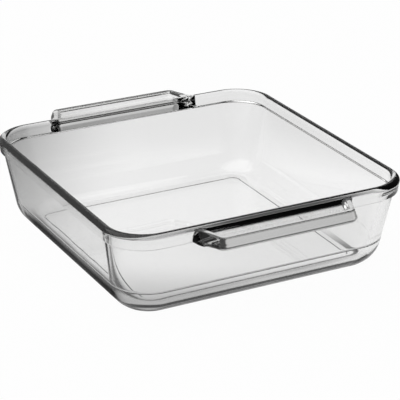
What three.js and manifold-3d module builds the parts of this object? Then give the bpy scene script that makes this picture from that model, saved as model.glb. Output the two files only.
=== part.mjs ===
// Square glass cake pan: a pressed dish with a domed rim and a grip tab on its front and its back.
// Sizes are in millimetres. X runs along the grip tabs, Y from front to back and Z up.
// The origin lies under the middle of the base, on the surface that the pan stands on.
// The glass is one pressing. It is divided here into base, heel, wall, rim and tabs,
// and each division is a plane on which the two neighbours meet face to face.

import * as THREE from "three";
import { mergeVertices } from "three/addons/utils/BufferGeometryUtils.js";
import Module from "manifold-3d";

const wasm = await Module();
wasm.setup();

// Overall sizes, taken over the outer edge of the rim.
const rimWidth = 216;
const rimDepth = 221.5;
const panHeight = 64;
const rimCorner = 28.1; // plan radius of the rim's corners
const wallLean = 0.1; // how much rounder the wall's corners get on the way down, for each mm of height
const cornerStep = 2.85; // how much rounder the wall's corners are than the rim's, where the two meet
const innerStep = 1.5; // how much rounder the corners of the inner edge are than those of the outer edge
const innerLean = 0.15; // how much rounder the inner corners get on the way down, for each mm of height
const cornerAllowance = 4; // straight run kept on a corner piece beside its arc

// Rim: a domed top, a band that draws in below its outer edge, and a thin ledge from the band to the wall.
const domeWidth = 3.4; // from the outer edge of the rim to the flat strip on its top
const topInset = 3.5; // from the outer edge to the axis of the inner round
const topRound = 2.4; // round of the inner edge
const edgeDrop = 2.62; // from the top of the rim to its outer edge
const bandDraft = THREE.MathUtils.degToRad(8);
const bandDrop = 9.7; // from the top of the rim to the foot of the band
const ledgeDrop = 10.7; // from the top of the rim to the top of the wall
const ledgeWidth = 1.59;

// Walls, and the round heel between the walls and the base.
const outerDraft = THREE.MathUtils.degToRad(9.52);
const innerDraft = THREE.MathUtils.degToRad(10);
const heelRadius = 20.25;
const filletRadius = 14.8;
const heelHeight = 24; // level at which the heel pieces give way to the wall pieces

// Base: the middle panel is raised a little, so the pan stands on a flat ring around it.
const floorLevel = 6;
const panelRecess = 0.8;
const footWidth = 1.8;

// Grip tabs: a shallow tray with a raised lip, standing out from the band.
const tabReach = 22.8; // beyond the outer edge of the rim
const tabRootLength = 118;
const tabTipLength = 100;
const tabTipRound = 8;
const tabLipDrop = 1.4; // from the top of the rim to the top of the lip
const tabLipDepth = 8.6; // height of the outer face of the tab
const tabLean = 3; // how far the outer face and the ends lean in over that height
const tabRootDrop = 10.2; // from the top of the rim to the underside where the tab starts
const tabLipWidth = 4.5;
const tabTrayDrop = 4.1; // from the top of the rim to the floor of the tray

// Fineness of the curves.
const cornerSteps = 12;
const heelSteps = 7;
const topSteps = 5;
const tabTipSteps = 12;

const glass = new THREE.MeshStandardMaterial({
  color: 0xdfe8e4,
  roughness: 0.04,
  metalness: 0,
  transparent: true,
  opacity: 0.35,
});

const group = new THREE.Group();
group.name = "square_cake_pan";

function addMesh(name, geometry) {
  const mesh = new THREE.Mesh(geometry, glass.clone());
  mesh.name = name;
  group.add(mesh);
}

// Heights on the rim, and the insets of the straight faces at a given height.
const topRoundZ = panHeight - topRound;
const edgeZ = panHeight - edgeDrop;
const bandZ = panHeight - bandDrop;
const wallTop = panHeight - ledgeDrop;

function bandInset(z) {
  return (edgeZ - z) * Math.tan(bandDraft);
}

function ledgeInset(z) {
  return bandInset(bandZ) + (ledgeWidth * (bandZ - z)) / (bandZ - wallTop);
}

function outerInset(z) {
  return ledgeInset(wallTop) + (wallTop - z) * Math.tan(outerDraft);
}

function innerInset(z) {
  return topInset + topRound / Math.cos(innerDraft) + (topRoundZ - z) * Math.tan(innerDraft);
}

// How far the axes of the corners lie further in than those of the rim's outer edge.
function outerShift(z) {
  const alongLedge = THREE.MathUtils.clamp((bandZ - z) / (bandZ - wallTop), 0, 1);
  return cornerStep * alongLedge + wallLean * Math.max(0, wallTop - z);
}

// On the inside the shift grows over the top of the rim, from the outer edge to the inner one.
function innerShift(inset, z) {
  return (innerStep + innerLean * (panHeight - z)) * THREE.MathUtils.smoothstep(inset, 0, topInset);
}

// A point of the pan's section: how far it lies inside the rim's outline, its height and its corner axis.
function outerPoint(inset, z) {
  return { inset, z, shift: outerShift(z) };
}

function innerPoint(inset, z) {
  return { inset, z, shift: innerShift(inset, z) };
}

function arcPoints(makePoint, inset, z, radius, from, to, steps) {
  const points = [];
  for (let i = 0; i <= steps; i++) {
    const angle = from + ((to - from) * i) / steps;
    points.push(makePoint(inset + radius * Math.cos(angle), z + radius * Math.sin(angle)));
  }
  return points;
}

// The arc that leads from a drafted wall face down to a flat face at the height of levelZ.
function heelArc(makePoint, insetAt, draft, radius, levelZ) {
  const z = levelZ + radius;
  const inset = insetAt(z) + radius / Math.cos(draft);
  return arcPoints(makePoint, inset, z, radius, Math.PI + draft, 1.5 * Math.PI, heelSteps);
}

const outerHeel = heelArc(outerPoint, outerInset, outerDraft, heelRadius, 0);
const innerHeel = heelArc(innerPoint, innerInset, innerDraft, filletRadius, floorLevel);
// The panel starts behind the foot, and never under the inner fillet.
const panelInset = Math.max(outerHeel[heelSteps].inset + footWidth, innerHeel[heelSteps].inset);
const panelEdge = outerPoint(panelInset, 0);
const tabRootZ = panHeight - tabRootDrop;

const heelSection = [
  { ...panelEdge, z: floorLevel },
  panelEdge,
  ...outerHeel.toReversed(),
  outerPoint(outerInset(heelHeight), heelHeight),
  innerPoint(innerInset(heelHeight), heelHeight),
  ...innerHeel,
];

const wallSection = [
  innerPoint(innerInset(heelHeight), heelHeight),
  outerPoint(outerInset(heelHeight), heelHeight),
  outerPoint(ledgeInset(wallTop), wallTop),
  innerPoint(innerInset(wallTop), wallTop),
];

const domeRadius = (domeWidth ** 2 + edgeDrop ** 2) / (2 * edgeDrop);
const domeAngle = Math.asin(domeWidth / domeRadius);
const rightAngle = Math.PI / 2;
const dome = arcPoints(
  innerPoint, domeWidth, panHeight - domeRadius, domeRadius, rightAngle + domeAngle, rightAngle, topSteps,
);
const innerRound = arcPoints(innerPoint, topInset, topRoundZ, topRound, rightAngle, -innerDraft, topSteps);

const rimSection = [
  innerPoint(innerInset(wallTop), wallTop),
  outerPoint(ledgeInset(wallTop), wallTop),
  outerPoint(ledgeInset(tabRootZ), tabRootZ),
  outerPoint(bandInset(bandZ), bandZ),
  ...dome,
  ...innerRound,
];

// Plan positions of a section point.
const cornerCentre = (size, shift) => size / 2 - rimCorner - shift;
const cutX = cornerCentre(rimWidth, outerShift(0)) - cornerAllowance;
const cutY = cornerCentre(rimDepth, outerShift(0)) - cornerAllowance;

function onFrontOrBack(point, x, signY) {
  return new THREE.Vector3(x, signY * (rimDepth / 2 - point.inset), point.z);
}

function onLeftOrRight(point, signX, y) {
  return new THREE.Vector3(signX * (rimWidth / 2 - point.inset), y, point.z);
}

function onCorner(point, signX, signY, angle) {
  const radius = rimCorner + point.shift - point.inset;
  const x = cornerCentre(rimWidth, point.shift) + radius * Math.cos(angle);
  const y = cornerCentre(rimDepth, point.shift) + radius * Math.sin(angle);
  return new THREE.Vector3(signX * x, signY * y, point.z);
}

// A closed solid through copies of one section, given as rows of points. The end rows are capped.
function loft(section, rows) {
  const count = section.length;
  const flat = section.map((point) => new THREE.Vector2(point.inset, point.z));
  const caps = THREE.ShapeUtils.triangulateShape(flat, []);
  const last = (rows.length - 1) * count;
  const indices = [];
  for (let row = 0; row < rows.length - 1; row++) {
    for (let i = 0; i < count; i++) {
      const a = row * count + i;
      const b = row * count + ((i + 1) % count);
      indices.push(a, b + count, b, a, a + count, b + count);
    }
  }
  for (const [a, b, c] of caps) {
    indices.push(c, b, a, last + a, last + b, last + c);
  }
  const geometry = new THREE.BufferGeometry();
  geometry.setFromPoints(rows.flat());
  geometry.setIndex(indices);
  return geometry;
}

function addSides(part, section) {
  const rowsAlongX = (signY) =>
    [-cutX, cutX].map((x) => section.map((point) => onFrontOrBack(point, -signY * x, signY)));
  const rowsAlongY = (signX) =>
    [-cutY, cutY].map((y) => section.map((point) => onLeftOrRight(point, signX, signX * y)));
  addMesh(`front_${part}`, loft(section, rowsAlongX(-1)));
  addMesh(`back_${part}`, loft(section, rowsAlongX(1)));
  addMesh(`left_${part}`, loft(section, rowsAlongY(-1)));
  addMesh(`right_${part}`, loft(section, rowsAlongY(1)));
}

function cornerRows(section, signX, signY) {
  const rows = [section.map((point) => onLeftOrRight(point, signX, signY * cutY))];
  for (let i = 0; i <= cornerSteps; i++) {
    const angle = (i / cornerSteps) * rightAngle;
    rows.push(section.map((point) => onCorner(point, signX, signY, angle)));
  }
  rows.push(section.map((point) => onFrontOrBack(point, signX * cutX, signY)));
  return signX === signY ? rows : rows.reverse();
}

function addCorners(part, section) {
  for (const [nameY, signY] of [["front", -1], ["back", 1]]) {
    for (const [nameX, signX] of [["left", -1], ["right", 1]]) {
      addMesh(`${nameY}_${nameX}_${part}`, loft(section, cornerRows(section, signX, signY)));
    }
  }
}

for (const [part, section] of [["heel", heelSection], ["wall", wallSection], ["rim", rimSection]]) {
  addSides(part, section);
  addCorners(part, section);
}

// Base panel: its outline is the inner edge of the heel pieces.
function panelOutline() {
  const quarters = [[1, 1], [-1, 1], [-1, -1], [1, -1]].map(([signX, signY]) => {
    const points = [onLeftOrRight(panelEdge, signX, signY * cutY)];
    for (let i = 0; i <= cornerSteps; i++) {
      points.push(onCorner(panelEdge, signX, signY, (i / cornerSteps) * rightAngle));
    }
    points.push(onFrontOrBack(panelEdge, signX * cutX, signY));
    return signX === signY ? points : points.reverse();
  });
  return new THREE.Shape(quarters.flat().map((point) => new THREE.Vector2(point.x, point.y)));
}

const panel = new THREE.ExtrudeGeometry(panelOutline(), {
  depth: floorLevel - panelRecess,
  bevelEnabled: false,
});
panel.translate(0, 0, panelRecess);
addMesh("base_panel", panel);

// Grip tabs, drawn for the back of the pan.
const tabRoot = rimDepth / 2;
const tabTip = tabRoot + tabReach;
const tabLipZ = panHeight - tabLipDrop;
const tabEdgeZ = tabLipZ - tabLipDepth;
const tabTrayZ = panHeight - tabTrayDrop;

function toManifold(geometry) {
  const bare = new THREE.BufferGeometry();
  bare.setAttribute("position", geometry.getAttribute("position"));
  bare.setIndex(geometry.index);
  const merged = mergeVertices(bare);
  return new wasm.Manifold(
    new wasm.Mesh({
      numProp: 3,
      vertProperties: merged.getAttribute("position").array,
      triVerts: new Uint32Array(merged.index.array),
    }),
  );
}

function toGeometry(manifold) {
  const mesh = manifold.getMesh();
  const geometry = new THREE.BufferGeometry();
  geometry.setAttribute("position", new THREE.BufferAttribute(mesh.vertProperties, 3));
  geometry.setIndex(new THREE.BufferAttribute(mesh.triVerts, 1));
  return geometry;
}

// The tab's side view, swept along X. Its root lies on the band and on the start of the ledge.
function tabBody() {
  const profile = [
    [tabRoot - ledgeInset(tabRootZ), tabRootZ],
    [tabTip, tabEdgeZ],
    [tabTip, tabLipZ],
    [tabRoot, tabLipZ],
    [tabRoot, edgeZ],
    [tabRoot - bandInset(bandZ), bandZ],
  ];
  const rows = [tabRootLength / 2, -tabRootLength / 2].map((x) =>
    profile.map(([y, z]) => new THREE.Vector3(x, y, z)),
  );
  const section = profile.map(([y, z]) => outerPoint(-y, z));
  return toManifold(loft(section, rows));
}

// The tab's plan, drawn in from its edge by a margin: longer at the root, with round corners at the tip.
function tabOutline(margin) {
  const slope = (tabRootLength - tabTipLength) / 2 / tabReach;
  const root = tabRoot - 2 * ledgeWidth;
  const rootHalf = tabRootLength / 2 - margin + slope * (tabRoot - root);
  const tip = tabTip - margin;
  const tipHalf = tabTipLength / 2 - margin;
  const turnX = tipHalf + slope * tabTipRound;
  const shape = new THREE.Shape();
  shape.moveTo(-rootHalf, root);
  shape.lineTo(rootHalf, root);
  shape.lineTo(turnX, tip - tabTipRound);
  shape.quadraticCurveTo(tipHalf, tip, tipHalf - tabTipRound, tip);
  shape.lineTo(tabTipRound - tipHalf, tip);
  shape.quadraticCurveTo(-tipHalf, tip, -turnX, tip - tabTipRound);
  return shape.getPoints(tabTipSteps);
}

// A block between two levels, with the plan's margin at each of them.
function tabBlock(lowZ, lowMargin, highZ, highMargin) {
  const low = tabOutline(lowMargin);
  const rows = [low, tabOutline(highMargin)].map((outline, i) =>
    outline.map((point) => new THREE.Vector3(point.x, point.y, i ? highZ : lowZ)),
  );
  const section = low.map((point) => ({ inset: -point.x, z: point.y }));
  return toManifold(loft(section, rows.reverse()));
}

const leanBelow = (tabLean * (tabEdgeZ - wallTop)) / tabLipDepth;
const plan = tabBlock(wallTop, -leanBelow, tabLipZ, tabLean);
const trayMargin = tabLean + tabLipWidth;
const tray = tabBlock(tabTrayZ, trayMargin, panHeight, trayMargin);
const tab = tabBody().intersect(plan).subtract(tray);
addMesh("back_handle", toGeometry(tab));
addMesh("front_handle", toGeometry(tab.rotate([0, 0, 180])));

export default group;
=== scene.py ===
"""Square glass cake pan: one smooth glass form over the solids, with its material, studio and camera."""
import math

import bmesh
import bpy
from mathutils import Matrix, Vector


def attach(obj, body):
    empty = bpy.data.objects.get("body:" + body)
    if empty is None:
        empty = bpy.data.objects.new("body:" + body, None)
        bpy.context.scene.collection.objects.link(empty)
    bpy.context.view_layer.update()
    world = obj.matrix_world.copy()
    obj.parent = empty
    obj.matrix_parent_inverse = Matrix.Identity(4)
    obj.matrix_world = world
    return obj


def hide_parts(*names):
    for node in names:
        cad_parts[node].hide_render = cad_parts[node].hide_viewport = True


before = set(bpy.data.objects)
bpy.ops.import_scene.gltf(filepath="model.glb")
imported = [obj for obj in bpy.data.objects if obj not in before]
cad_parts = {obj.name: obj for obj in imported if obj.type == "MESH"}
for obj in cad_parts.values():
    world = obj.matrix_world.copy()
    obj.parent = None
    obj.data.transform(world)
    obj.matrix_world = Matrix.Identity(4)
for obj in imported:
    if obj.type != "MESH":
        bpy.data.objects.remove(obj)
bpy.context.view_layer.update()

MM = 0.001  # sizes below are in millimetres, the scene is in metres

# Overall sizes.
RIM_WIDTH = 216.0
RIM_DEPTH = 221.5
PAN_HEIGHT = 64.0
RIM_CORNER = 28.1  # plan radius of the rim's corners
WALL_LEAN = 0.1  # how much rounder the wall's corners get on the way down, for each mm of height
CORNER_STEP = 2.85  # how much rounder the wall's corners are than the rim's, where the two meet
INNER_STEP = 1.5  # how much rounder the corners of the inner edge are than those of the outer edge
INNER_LEAN = 0.15  # how much rounder the inner corners get on the way down, for each mm of height

# Rim: a domed top, a band that draws in below its outer edge, and a thin ledge from the band to the wall.
DOME_WIDTH = 3.4  # from the outer edge of the rim to the flat strip on its top
TOP_INSET = 3.5  # from the outer edge to the axis of the inner round
TOP_ROUND = 2.4  # round of the inner edge
EDGE_DROP = 2.62  # from the top of the rim to its outer edge
EDGE_ROUND = 0.4
BAND_DRAFT = math.radians(8)
BAND_DROP = 9.7
BAND_ROUND = 0.5
LEDGE_DROP = 10.7
LEDGE_WIDTH = 1.59
LEDGE_ROUND = 0.8

# Walls, heel and base.
OUTER_DRAFT = math.radians(9.52)
INNER_DRAFT = math.radians(10)
HEEL_RADIUS = 20.25
FILLET_RADIUS = 14.8
SEAM_ROUND = 0.45  # fine groove on the inside, where the fillet meets the wall
ACROSS = Vector((0.5, 1, 0))  # from the front left of the pan to its back right
SEAM_FADE = (-40.0, 20.0)  # places along that direction between which the groove ends
FLOOR_LEVEL = 6.0
PANEL_RECESS = 0.8
FOOT_WIDTH = 1.8
FOOT_ROUND = 0.3
PANEL_RISE = 0.8  # plan width of the slope from the foot up to the panel

# Grip tabs: a tray with a raised lip on three sides.
TAB_REACH = 22.8
TAB_ROOT_HALF = 59.0
TAB_TIP_HALF = 50.0
TAB_TIP_ROUND = 7.5
TAB_ROOT_ROUND = 5.0
TAB_LIP_DROP = 1.4
TAB_LIP_DEPTH = 8.6  # height of the outer face
TAB_LEAN = 3.0  # how far the outer face leans over that height, out towards the bottom
TAB_ROOT_DROP = 10.2
TAB_TRAY_DROP = 4.1
TAB_LIP_WIDTH = 3.0
TAB_RAMP = 3.2  # plan width of the slope from the lip down to the tray
TAB_FILLET = 2.4  # softness of the turn between the tray and the slope up to the rim
TAB_TOP_ROUND = 1.6
TAB_BOTTOM_ROUND = 3.0
TAB_MERGE = 3.0  # reach below which a tab melts into the band
TAB_TIP_RUN = 14.0  # straight run of the tip that is counted with its corner
TAB_TURN_RUN = 7.0  # run of the rim that faces that corner
TAB_ROOT_RUN = 8.0  # run of the band beyond the root, where a tab ends
TAB_CREASE = 0.5  # softness of the turn where the lip meets the rim
TAB_LEAST_DEPTH = 1.0  # least width of a section through a tab, and its least share of the reach there
TAB_DEPTH_SHARE = 0.3
TAB_ROUND_SHARE = 0.4  # the rounds of the edge take at most this share of the width
TAB_ROOT_SOFTNESS = 0.2  # share of the rounds that is left at the root
TAB_SOFT_REACH = 0.7  # share of the reach from which the rounds are whole

# Glass.
GLASS_IOR = 1.5
GLASS_COLOUR = (0.5, 0.5, 0.49, 1)
GLASS_DENSITY = 24.0
WAVE_SCALE = 25.0  # waves to the metre, roughly
WAVE_HEIGHT = 0.0004  # in metres
WAVE_STRENGTH = 0.2
WAVE_DETAIL = 1.0
HAZE_SCALE = 90.0
HAZE_DETAIL = 3.0
HAZE_RANGE = (0.45, 0.75)  # noise levels between which the haze sets in
HAZE = 0.02  # roughness of the haziest spots

# Studio, in metres. Depth counts away from the camera, and side to its right.
VIEW_AZIMUTH = -27.69
VIEW_ELEVATION = 23.16
VIEW_DISTANCE = 1.24636
VIEW_AIM = Vector((0, 0, 0.025))
IMAGE_SIZE = 400  # in pixels, as are the next two
IMAGE_FOCAL = 1798.96  # focal length
IMAGE_AIM = (193.82, 206.9)  # where the point that the camera aims at lies in the picture
SENSOR_WIDTH = 36.0  # in millimetres
VIEW_LIMIT = 20.0
FLOOR_HALF = 4.0
FLOOR_GAP = 0.0002  # between the floor and the foot
FLOOR_COLOUR = 0.85
SEEN_SHARE = 0.97  # share of plain white in the floor as the camera sees it
# Painted light: as the glass shows it, the floor glows with a painted pool of light and painted shades of
# the pan.
THROUGH_SHARE = 0.97  # share of the painted pool of light in the floor as the glass shows it
POOL_FRONT = (-0.26, -0.16)  # depths between which the pool fades in
POOL_STEP = (-0.105, -0.04)  # depths between which it leaves the painted shade of the pan
POOL_FAR = (0.24, 0.06)  # depths between which it fades out, from the far one on
POOL_LEFT = (-0.2, -0.05)  # places between which it fades at its sides, from the outer one on
POOL_RIGHT = (0.34, 0.16)
POOL_EDGE = 0.25  # level beyond its sides
POOL_STEP_LEVEL = 0.55  # level in the painted shade of the pan
POOL_FAR_EDGE = 0.9  # level beyond its far end
SHADE_PLACE = (0.045, -0.17, 0)  # painted shadow of the front tab on the floor
SHADE_RADII = (0.045, 0.09)
SHADE_LEVEL = 0.16
CONTACT_HALF = (0.0725, 0.0752, 0)  # painted contact shadow: a ring round this rectangle, under the heel
CONTACT_REACH = 0.0125
CONTACT_WIDTHS = (0.0015, 0.004)
CONTACT_LEVEL = 0.05
CONTACT_FADE = (-0.04, 0.02)  # places from the front left to the back right between which it ends
STRIP_SIDE = -0.094  # painted shade along the left side of the pan: its middle, half widths and ends
STRIP_WIDTHS = (0.011, 0.016)
STRIP_ENDS = ((0.06, 0.11), (-0.052, -0.08))
STRIP_LEVEL = 0.14
WORLD_LEFT = 0.55  # soft light all round, which falls off from left to right
WORLD_RIGHT = 0.05
WORLD_RANGE = (-0.7, 0.5)  # sines of the angles between which it darkens
GLOW_LEVEL = 0.6  # soft light behind the pan
GLOW_AZIMUTH = 150.0
GLOW_ELEVATION = 27.0
GLOW_RANGE = (0.970, 0.9925)  # cosines of the angles between which it sets in
LAMP_SIZE = 4.0
LAMP_POWER = 45.0
LAMP_PLACE = (-0.6, 0.3, 2.2)

# Fineness of the mesh.
ARC_STEPS = 16
CORNER_STEPS = 22
SEAM_STEPS = 6
TAB_STEPS = 6  # steps from the middle of a tab to the straight run beside its corner
TAB_EDGE_POINTS = 61
TOP_POINTS = 40  # points of a section through a tab: over its top, each round, its face and its underside
ROUND_POINTS = 7
FACE_POINTS = 4
UNDER_POINTS = 14
TAB_POINTS = TOP_POINTS + 2 * ROUND_POINTS + FACE_POINTS + UNDER_POINTS
CORNER_RUN = 1.0  # length of the straight section before and after a corner
LEDGE_SOFT = 0.4  # how far the step of the corners spreads above and below the ledge
CAP_MARGIN = 2.0  # flat strip between the last round of the base and its flat middle
SUPPORT = 0.8  # distance of the support points beside a rounded corner

EDGE_Z = PAN_HEIGHT - EDGE_DROP
TOP_Z = PAN_HEIGHT - TOP_ROUND
DOME_RADIUS = (DOME_WIDTH ** 2 + EDGE_DROP ** 2) / (2 * EDGE_DROP)
BAND_Z = PAN_HEIGHT - BAND_DROP
WALL_TOP = PAN_HEIGHT - LEDGE_DROP
TAB_ROOT_Z = PAN_HEIGHT - TAB_ROOT_DROP
TRAY_Z = PAN_HEIGHT - TAB_TRAY_DROP
SLOPE_INSET = DOME_WIDTH - DOME_RADIUS / math.sqrt(2)  # where the rim's dome falls at 45 degrees
SLOPE_Z = PAN_HEIGHT - DOME_RADIUS * (1 - 1 / math.sqrt(2)) - SLOPE_INSET
LIP_Z = PAN_HEIGHT - TAB_LIP_DROP
TAB_EDGE_Z = LIP_Z - TAB_LIP_DEPTH


def lerp(a, b, t):
    return a + (b - a) * t


def smoothstep(low, high, x):
    t = min(1.0, max(0.0, (x - low) / (high - low)))
    return t * t * (3 - 2 * t)


def arc(centre, radius, start, end, steps):
    angles = [lerp(start, end, i / steps) for i in range(steps + 1)]
    return [Vector((centre[0] + radius * math.cos(a), centre[1] + radius * math.sin(a))) for a in angles]


def rounded(corners, steps=ARC_STEPS):
    """A line through corners given as (x, z, radius), each corner rounded by an arc."""
    points = [Vector(corners[0][:2])]
    for before, here, after in zip(corners, corners[1:], corners[2:]):
        tip, radius = Vector(here[:2]), here[2]
        back = (Vector(before[:2]) - tip).normalized()
        ahead = (Vector(after[:2]) - tip).normalized()
        half = back.angle(ahead) / 2
        centre = tip + (back + ahead).normalized() * (radius / math.sin(half))
        start = tip + back * (radius / math.tan(half)) - centre
        end = tip + ahead * (radius / math.tan(half)) - centre
        turn = start.angle_signed(end)
        for i in range(steps + 1):
            angle = -turn * i / steps
            cos, sin = math.cos(angle), math.sin(angle)
            points.append(centre + Vector((start.x * cos - start.y * sin, start.x * sin + start.y * cos)))
    points.append(Vector(corners[-1][:2]))
    return points


def supported(points):
    """Adds a point just inside each end of every long straight run, so that flat faces shade flat."""
    out = [points[0]]
    for a, b in zip(points, points[1:]):
        run = (b - a).length
        if run > 3 * SUPPORT:
            out += [a.lerp(b, SUPPORT / run), a.lerp(b, 1 - SUPPORT / run)]
        out.append(b)
    return out


def spread(points, count):
    """The same line with a given number of points at equal distances."""
    lengths = [0.0]
    for a, b in zip(points, points[1:]):
        lengths.append(lengths[-1] + (b - a).length)
    out = []
    k = 0
    for i in range(count):
        want = lengths[-1] * i / (count - 1)
        while k < len(points) - 2 and lengths[k + 1] < want:
            k += 1
        out.append(points[k].lerp(points[k + 1], (want - lengths[k]) / (lengths[k + 1] - lengths[k])))
    return out


# The section of the pan as (inset, z) points: inset counts inwards from the outermost edge of the band.
def band_inset(z):
    return (EDGE_Z - z) * math.tan(BAND_DRAFT)


def ledge_inset(z):
    return band_inset(BAND_Z) + LEDGE_WIDTH * (BAND_Z - z) / (BAND_Z - WALL_TOP)


def outer_inset(z):
    return ledge_inset(WALL_TOP) + (WALL_TOP - z) * math.tan(OUTER_DRAFT)


def inner_inset(z):
    return TOP_INSET + TOP_ROUND / math.cos(INNER_DRAFT) + (TOP_Z - z) * math.tan(INNER_DRAFT)


foot_inset = outer_inset(HEEL_RADIUS) + HEEL_RADIUS / math.cos(OUTER_DRAFT)
panel_inset = foot_inset + FOOT_WIDTH
floor_inset = inner_inset(FLOOR_LEVEL + FILLET_RADIUS) + FILLET_RADIUS / math.cos(INNER_DRAFT)
inner_round = arc((TOP_INSET, TOP_Z), TOP_ROUND, -INNER_DRAFT, math.pi / 2, ARC_STEPS)
dome_end = math.pi / 2 + math.asin(DOME_WIDTH / DOME_RADIUS)
dome = arc((DOME_WIDTH, PAN_HEIGHT - DOME_RADIUS), DOME_RADIUS, math.pi / 2, dome_end, ARC_STEPS)
tab_root = (ledge_inset(TAB_ROOT_Z), TAB_ROOT_Z)

fillet = rounded([
    (floor_inset + CAP_MARGIN, FLOOR_LEVEL, 0),
    (inner_inset(FLOOR_LEVEL), FLOOR_LEVEL, FILLET_RADIUS),
    (*inner_round[0], 0),
])
seam_z = fillet[-2].y + 2 * SEAM_ROUND
seam = arc((inner_inset(seam_z), seam_z), SEAM_ROUND, -math.pi / 2, -1.5 * math.pi, SEAM_STEPS)
wall_start = Vector((inner_inset(seam_z + 2 * SEAM_ROUND), seam_z + 2 * SEAM_ROUND))
inside = supported(fillet[:-1])
above_seam = supported([wall_start] + inner_round)
crown = dome[:-2]  # the rest of the dome goes into the round of the outer edge
outside = supported(rounded([
    (*tab_root, 0),
    (ledge_inset(WALL_TOP), WALL_TOP, LEDGE_ROUND),
    (outer_inset(0), 0, HEEL_RADIUS),
    (panel_inset, 0, FOOT_ROUND),
    (panel_inset + PANEL_RISE, PANEL_RECESS, FOOT_ROUND),
    (panel_inset + PANEL_RISE + CAP_MARGIN, PANEL_RECESS, 0),
]))
plain_band = rounded([
    (*dome[-2], 0),
    (0, EDGE_Z, EDGE_ROUND),
    (band_inset(BAND_Z), BAND_Z, BAND_ROUND),
    (*tab_root, 0),
])


# Grip tabs. A plan point is (x, r): its place along the rim and its distance out from the band.
tab_corners = [
    (TAB_TIP_HALF - TAB_TIP_RUN, TAB_REACH, 0),
    (TAB_TIP_HALF, TAB_REACH, TAB_TIP_ROUND),
    (TAB_ROOT_HALF, 0, TAB_ROOT_ROUND),
    (TAB_ROOT_HALF + TAB_ROOT_RUN, 0, 0),
]
tab_edge = spread(rounded(tab_corners), TAB_EDGE_POINTS)
tab_start = tab_corners[0][0]


def edge_distance(point):
    """Distance from a plan point to the tab's outer edge."""
    best = abs(TAB_REACH - point.y) if abs(point.x) <= tab_start else math.inf
    probe = Vector((abs(point.x), point.y))
    for a, b in zip(tab_edge, tab_edge[1:]):
        side = b - a
        t = min(1.0, max(0.0, (probe - a).dot(side) / side.length_squared))
        best = min(best, (a + side * t - probe).length)
    return best


def tab_top(point):
    """Height of a tab's upper face: the lip, the tray and the slope from the tray up to the rim's dome."""
    in_tray = smoothstep(TAB_LIP_WIDTH, TAB_LIP_WIDTH + TAB_RAMP, edge_distance(point) - TAB_LEAN)
    z = lerp(LIP_Z, TRAY_Z, in_tray)
    slope = SLOPE_Z - point.y
    soft = lerp(TAB_CREASE, TAB_FILLET, in_tray)
    overlap = max(0.0, 1 - abs(z - slope) / soft)
    return max(z, slope) + overlap * overlap * soft / 4


def tab_line(base_x, edge, normal):
    """Points (x, r, z) over a tab, from the rim out to the tab's edge and back below it to its root."""
    first = Vector((base_x, 0))
    # The edge as (place along the normal, z): the round of the lip, the leaning face and the bottom round.
    lip = edge - normal * (TAB_LEAN * smoothstep(0, 2 * TAB_MERGE, edge.y))
    reach = lip - first
    depth = max(TAB_LEAST_DEPTH, TAB_DEPTH_SHARE * reach.length, reach.dot(normal))
    edge_z = lerp(TAB_ROOT_Z, TAB_EDGE_Z, edge.y / TAB_REACH)
    softness = lerp(TAB_ROOT_SOFTNESS, 1, smoothstep(0, TAB_SOFT_REACH * TAB_REACH, edge.y))
    most = TAB_ROUND_SHARE * depth
    section = rounded([
        (-depth, tab_top(lip), 0),
        (0, tab_top(lip), min(TAB_TOP_ROUND * softness, most)),
        ((edge - lip).dot(normal), edge_z, min(TAB_BOTTOM_ROUND * softness, most)),
        (-depth, TAB_ROOT_Z, 0),
    ], ROUND_POINTS - 1)[1:-1]
    upper, lower = section[:ROUND_POINTS], section[ROUND_POINTS:]
    face = [upper[-1].lerp(lower[0], (i + 1) / (FACE_POINTS + 1)) for i in range(FACE_POINTS)]
    crest = lip + reach * (upper[0].x / depth)
    points = []
    for i in range(TOP_POINTS):
        plan = first.lerp(crest, (i + 0.5) / TOP_POINTS)
        points.append(Vector((*plan, tab_top(plan))))
    for place, z in upper + face + lower:
        plan = lip + reach * (place / depth)
        points.append(Vector((*plan, z)))
    under, root = points[-1], Vector((base_x, -tab_root[0], TAB_ROOT_Z))
    points += [under.lerp(root, (i + 1) / (UNDER_POINTS + 1)) for i in range(UNDER_POINTS)]
    return points


def tab_stations():
    """Half a tab from its middle to its end, as (place on the band, edge point, edge normal)."""
    outwards = Vector((0, 1))
    middle_places = [tab_start * i / TAB_STEPS for i in range(TAB_STEPS)]
    stations = [(x, Vector((x, TAB_REACH)), outwards) for x in middle_places]
    last = len(tab_edge) - 1
    turn_base = tab_start + TAB_TURN_RUN
    turn_end = next(i for i, p in enumerate(tab_edge) if p.y < TAB_REACH - TAB_TIP_ROUND)
    for i, point in enumerate(tab_edge):
        before, after = tab_edge[max(0, i - 1)], tab_edge[min(last, i + 1)]
        side = (after - before).normalized()
        if i <= turn_end:
            base = lerp(tab_start, turn_base, i / turn_end)
        else:
            base = lerp(turn_base, tab_edge[last].x, (i - turn_end) / (last - turn_end))
        stations.append((base, point, Vector((-side.y, side.x))))
    return stations


# Stations round the pan: each one places the points of a whole section.
def outer_shift(z):
    """How far the axis of an outer corner lies further in than at the top of the pan."""
    step = CORNER_STEP * (1 - smoothstep(WALL_TOP - LEDGE_SOFT, BAND_Z + LEDGE_SOFT, z))
    return step + WALL_LEAN * max(0.0, WALL_TOP - z)


def inner_shift(inset, z):
    """The same for the inner corners: over the rim it grows from the outer edge to the inner one."""
    return (INNER_STEP + INNER_LEAN * (PAN_HEIGHT - z)) * smoothstep(0, TOP_INSET, inset)


def on_corner(sign_x, sign_y, angle):
    """A section in a corner, at an angle from the X axis."""
    def place(inset, z, shift):
        radius = RIM_CORNER + shift
        x = RIM_WIDTH / 2 - radius + (radius - inset) * math.cos(angle)
        y = RIM_DEPTH / 2 - radius + (radius - inset) * math.sin(angle)
        return Vector((sign_x * x, sign_y * y, z))
    return place


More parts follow.
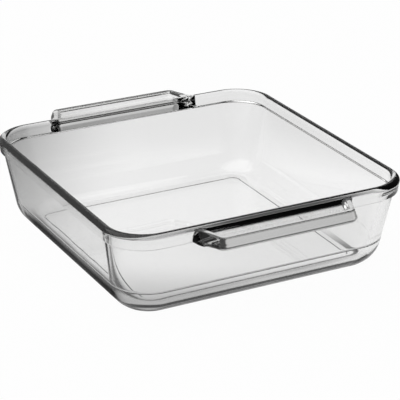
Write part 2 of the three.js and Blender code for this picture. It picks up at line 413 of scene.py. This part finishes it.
def beside_corner(sign_x, sign_y, along_x):
    """A straight section a short run before a corner starts, or after it ends."""
    def place(inset, z, shift):
        radius = RIM_CORNER + shift
        x, y = RIM_WIDTH / 2 - inset, RIM_DEPTH / 2 - inset
        if along_x:
            x = RIM_WIDTH / 2 - radius - CORNER_RUN
        else:
            y = RIM_DEPTH / 2 - radius - CORNER_RUN
        return Vector((sign_x * x, sign_y * y, z))
    return place


def on_side(x, sign_y):
    """A section of the front or the back, at a place along X."""
    return lambda inset, z, shift: Vector((x, sign_y * (RIM_DEPTH / 2 - inset), z))


# From here on each point of the section also has the shift of the corners at its height.
inside = [(*p, inner_shift(*p)) for p in inside]
above_seam = [(*p, inner_shift(*p)) for p in above_seam]
crown = [(*p, inner_shift(*p)) for p in crown]
middle = [(*p, outer_shift(p.y)) for p in spread(plain_band, TAB_POINTS + 2)[1:-1]]
outside = [(*p, outer_shift(p.y)) for p in outside]


def inner_column(place):
    """The inside of a section; its groove fades out towards the back and the right."""
    points = [place(*p) for p in inside]
    for groove, z in seam:
        wall = inner_inset(z)
        shift = inner_shift(wall, z)
        plain = place(wall, z, shift)
        share = 1 - smoothstep(*SEAM_FADE, plain.dot(ACROSS))
        points.append(place(lerp(wall, groove, share), z, shift))
    return points + [place(*p) for p in above_seam]


def column(place):
    """A whole section without a tab, from the floor over the rim to the base."""
    return inner_column(place) + [place(*p) for p in crown + middle + outside]


def tab_column(sign_x, sign_y, station):
    """A whole section through a tab, which melts into the plain section at the tab's end."""
    base, edge, normal = station
    place = on_side(sign_x * base, sign_y)
    share = smoothstep(0, TAB_MERGE, edge.y)
    points = []
    for inset, z, shift in crown:
        top = tab_top(Vector((base, -inset))) if inset < SLOPE_INSET else z
        points.append(place(inset, lerp(z, max(z, top), share), shift))
    for plain, point in zip(middle, tab_line(base, edge, normal)):
        there = Vector((sign_x * point.x, sign_y * (RIM_DEPTH / 2 + point.y), point.z))
        points.append(place(*plain).lerp(there, share))
    return inner_column(place) + points + [place(*p) for p in outside]


def quarter(sign_x, sign_y):
    """Columns from the middle of the front or back, round a corner, to the start of a side."""
    angles = [math.pi / 2 * (1 - i / CORNER_STEPS) for i in range(CORNER_STEPS + 1)]
    columns = [tab_column(sign_x, sign_y, station) for station in tab_stations()]
    columns.append(column(beside_corner(sign_x, sign_y, True)))
    columns += [column(on_corner(sign_x, sign_y, angle)) for angle in angles]
    columns.append(column(beside_corner(sign_x, sign_y, False)))
    return columns


def all_columns():
    """Columns in one turn round the pan; the two middle columns of the tabs are shared by two quarters."""
    front_right, front_left = quarter(1, -1), quarter(-1, -1)
    back_right, back_left = quarter(1, 1), quarter(-1, 1)
    return front_right + back_right[:0:-1] + back_left + front_left[:0:-1]


def build_pan():
    work = bmesh.new()
    rows = [[work.verts.new(point * MM) for point in line] for line in all_columns()]
    for here, there in zip(rows, rows[1:] + rows[:1]):
        for i in range(len(here) - 1):
            work.faces.new((here[i], here[i + 1], there[i + 1], there[i]))
    work.faces.new([row[0] for row in rows])
    work.faces.new([row[-1] for row in rows])
    bmesh.ops.recalc_face_normals(work, faces=work.faces)
    for face in work.faces:
        face.smooth = True
    mesh = bpy.data.meshes.new("glass_pan")
    work.to_mesh(mesh)
    work.free()
    pan = bpy.data.objects.new("glass_pan", mesh)
    bpy.context.collection.objects.link(pan)
    return pan


# Materials.
def node(tree, kind, values=(), **settings):
    """A new node whose settings and input values are given; an input value that is a socket gets linked."""
    made = tree.nodes.new("ShaderNode" + kind)
    for name, value in settings.items():
        setattr(made, name, value)
    for name, value in dict(values).items():
        if isinstance(value, bpy.types.NodeSocket):
            tree.links.new(value, made.inputs[name])
        else:
            made.inputs[name].default_value = value
    return made


def vector_math(tree, operation, *values):
    return node(tree, "VectorMath", enumerate(values), operation=operation).outputs


def distance_along(tree, place, direction):
    return vector_math(tree, "DOT_PRODUCT", place, direction)["Value"]


def ramp(tree, value, ends, levels):
    """A value that goes softly from the first level to the second between the two ends."""
    values = {
        "Value": value,
        "From Min": ends[0],
        "From Max": ends[1],
        "To Min": levels[0],
        "To Max": levels[1],
    }
    return node(tree, "MapRange", values, interpolation_type="SMOOTHSTEP").outputs[0]


def math_of(tree, operation, *values):
    return node(tree, "Math", enumerate(values), operation=operation).outputs[0]


def glass_material():
    """Clear glass that swallows a little light with depth, with the faint waves and haze of a pressing."""
    material = bpy.data.materials.new("clear_glass")
    material.use_nodes = True
    tree = material.node_tree
    place = node(tree, "TexCoord").outputs["Object"]
    waves = node(tree, "TexNoise", {"Vector": place, "Scale": WAVE_SCALE, "Detail": WAVE_DETAIL})
    specks = node(tree, "TexNoise", {"Vector": place, "Scale": HAZE_SCALE, "Detail": HAZE_DETAIL})
    heights = {"Strength": WAVE_STRENGTH, "Distance": WAVE_HEIGHT, "Height": waves.outputs["Fac"]}
    bump = node(tree, "Bump", heights)
    shader = tree.nodes["Principled BSDF"]
    shader.inputs["Base Color"].default_value = (1, 1, 1, 1)
    shader.inputs["IOR"].default_value = GLASS_IOR
    shader.inputs["Transmission Weight"].default_value = 1.0
    haze = ramp(tree, specks.outputs["Fac"], HAZE_RANGE, (0, HAZE))
    tree.links.new(haze, shader.inputs["Roughness"])
    tree.links.new(bump.outputs[0], shader.inputs["Normal"])
    depth = node(tree, "VolumeAbsorption", {"Color": GLASS_COLOUR, "Density": GLASS_DENSITY})
    tree.links.new(depth.outputs["Volume"], tree.nodes["Material Output"].inputs["Volume"])
    return material


pan = build_pan()
pan.data.materials.append(glass_material())
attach(pan, "root")
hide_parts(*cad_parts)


# Stage: a pale floor, soft light and the photo's camera.
def towards(azimuth, elevation):
    """Unit vector from the pan; azimuth 0 is the front of the pan, and 90 its right side."""
    azimuth, elevation = math.radians(azimuth), math.radians(elevation)
    level = math.cos(elevation)
    return Vector((math.sin(azimuth) * level, -math.cos(azimuth) * level, math.sin(elevation)))


def contact_shade(tree, place):
    """Level of the floor under the heel, a painted contact shadow: a dark ring that ends towards the back
    and the right.
    """
    beside = vector_math(tree, "ABSOLUTE", place)["Vector"]
    beside = vector_math(tree, "SUBTRACT", beside, CONTACT_HALF)["Vector"]
    beside = vector_math(tree, "MAXIMUM", beside, (0, 0, 0))["Vector"]
    reach = vector_math(tree, "LENGTH", beside)["Value"]
    off_ring = math_of(tree, "ABSOLUTE", math_of(tree, "SUBTRACT", reach, CONTACT_REACH))
    ring = ramp(tree, off_ring, CONTACT_WIDTHS, (CONTACT_LEVEL, 1))
    gone = ramp(tree, distance_along(tree, place, ACROSS), CONTACT_FADE, (0, 1))
    return math_of(tree, "MAXIMUM", ring, gone)


def strip_shade(tree, place):
    """Level of the floor along the left side of the pan: a painted shade."""
    aside = math_of(tree, "SUBTRACT", distance_along(tree, place, (1, 0, 0)), STRIP_SIDE)
    level = ramp(tree, math_of(tree, "ABSOLUTE", aside), STRIP_WIDTHS, (STRIP_LEVEL, 1))
    behind = distance_along(tree, place, (0, 1, 0))
    for end in STRIP_ENDS:
        level = math_of(tree, "MAXIMUM", level, ramp(tree, behind, end, (0, 1)))
    return level


def pool_level(tree):
    """Level of the floor as the glass shows it: a soft painted pool of light with the painted shades of the
    pan.
    """
    place = node(tree, "NewGeometry").outputs["Position"]
    depth = distance_along(tree, place, -towards(VIEW_AZIMUTH, 0))
    side = distance_along(tree, place, towards(VIEW_AZIMUTH + 90, 0))
    off_shade = vector_math(tree, "DISTANCE", place, SHADE_PLACE)["Value"]
    level = ramp(tree, off_shade, SHADE_RADII, (SHADE_LEVEL, 1))
    fades = [
        ramp(tree, side, POOL_LEFT, (POOL_EDGE, 1)),
        ramp(tree, side, POOL_RIGHT, (POOL_EDGE, 1)),
        ramp(tree, depth, POOL_FRONT, (0, 1)),
        ramp(tree, depth, POOL_STEP, (POOL_STEP_LEVEL, 1)),
        ramp(tree, depth, POOL_FAR, (POOL_FAR_EDGE, 1)),
        contact_shade(tree, place),
        strip_shade(tree, place),
    ]
    for fade in fades:
        level = math_of(tree, "MULTIPLY", level, fade)
    return level


def floor_material():
    """Pale matt floor: almost plain white to the camera, and a painted pool of light with painted shades in
    the glass.
    """
    material = bpy.data.materials.new("pale_floor")
    material.use_nodes = True
    tree = material.node_tree
    tree.nodes.clear()
    # Painted light: the floor's glow for rays from the glass, a painted pool of light with painted shades.
    pool = node(tree, "Emission", {"Strength": pool_level(tree)})
    matt = node(tree, "BsdfDiffuse", {"Color": (FLOOR_COLOUR, FLOOR_COLOUR, FLOOR_COLOUR, 1)})
    white = node(tree, "Emission")
    path = node(tree, "LightPath").outputs
    in_glass = math_of(tree, "MAXIMUM", path["Is Glossy Ray"], path["Is Transmission Ray"])
    in_glass = math_of(tree, "MULTIPLY", in_glass, THROUGH_SHARE)
    seen = math_of(tree, "MULTIPLY", path["Is Camera Ray"], SEEN_SHARE)
    lit = node(tree, "MixShader", {"Fac": in_glass, 1: matt.outputs[0], 2: pool.outputs[0]})
    mix = node(tree, "MixShader", {"Fac": seen, 1: lit.outputs[0], 2: white.outputs[0]})
    node(tree, "OutputMaterial", {"Surface": mix.outputs[0]})
    return material


def build_floor():
    mesh = bpy.data.meshes.new("floor")
    corners = [(x * FLOOR_HALF, y * FLOOR_HALF, 0) for x, y in ((-1, -1), (1, -1), (1, 1), (-1, 1))]
    mesh.from_pydata(corners, [], [(0, 1, 2, 3)])
    mesh.materials.append(floor_material())
    floor = bpy.data.objects.new("floor", mesh)
    floor.location.z = -FLOOR_GAP
    bpy.context.collection.objects.link(floor)


def build_world():
    world = bpy.data.worlds.new("studio")
    bpy.context.scene.world = world
    world.use_nodes = True
    tree = world.node_tree
    direction = node(tree, "TexCoord").outputs["Generated"]
    side = distance_along(tree, direction, towards(VIEW_AZIMUTH + 90, 0))
    background = tree.nodes["Background"]
    background.inputs["Color"].default_value = (1, 1, 1, 1)
    plain = ramp(tree, side, WORLD_RANGE, (WORLD_LEFT, WORLD_RIGHT))
    nearness = distance_along(tree, direction, towards(GLOW_AZIMUTH, GLOW_ELEVATION))
    glow = ramp(tree, nearness, GLOW_RANGE, (0, GLOW_LEVEL))
    tree.links.new(math_of(tree, "ADD", plain, glow), background.inputs["Strength"])


def build_lamp():
    data = bpy.data.lights.new("softbox", "AREA")
    data.shape = "DISK"
    data.size = LAMP_SIZE
    data.energy = LAMP_POWER
    lamp = bpy.data.objects.new("softbox", data)
    lamp.location = LAMP_PLACE
    lamp.rotation_euler = Vector(LAMP_PLACE).to_track_quat("Z", "Y").to_euler()
    bpy.context.collection.objects.link(lamp)


def build_camera():
    back = towards(VIEW_AZIMUTH, VIEW_ELEVATION)
    data = bpy.data.cameras.new("camera")
    data.sensor_width = SENSOR_WIDTH
    data.lens = SENSOR_WIDTH * IMAGE_FOCAL / IMAGE_SIZE
    data.shift_x = 0.5 - IMAGE_AIM[0] / IMAGE_SIZE
    data.shift_y = IMAGE_AIM[1] / IMAGE_SIZE - 0.5
    data.clip_end = VIEW_LIMIT
    camera = bpy.data.objects.new("camera", data)
    camera.location = VIEW_AIM + back * VIEW_DISTANCE
    camera.rotation_euler = back.to_track_quat("Z", "Y").to_euler()
    bpy.context.collection.objects.link(camera)
    bpy.context.scene.camera = camera


build_floor()
build_world()
build_lamp()
build_camera()
bpy.context.scene.view_settings.view_transform = "Standard"
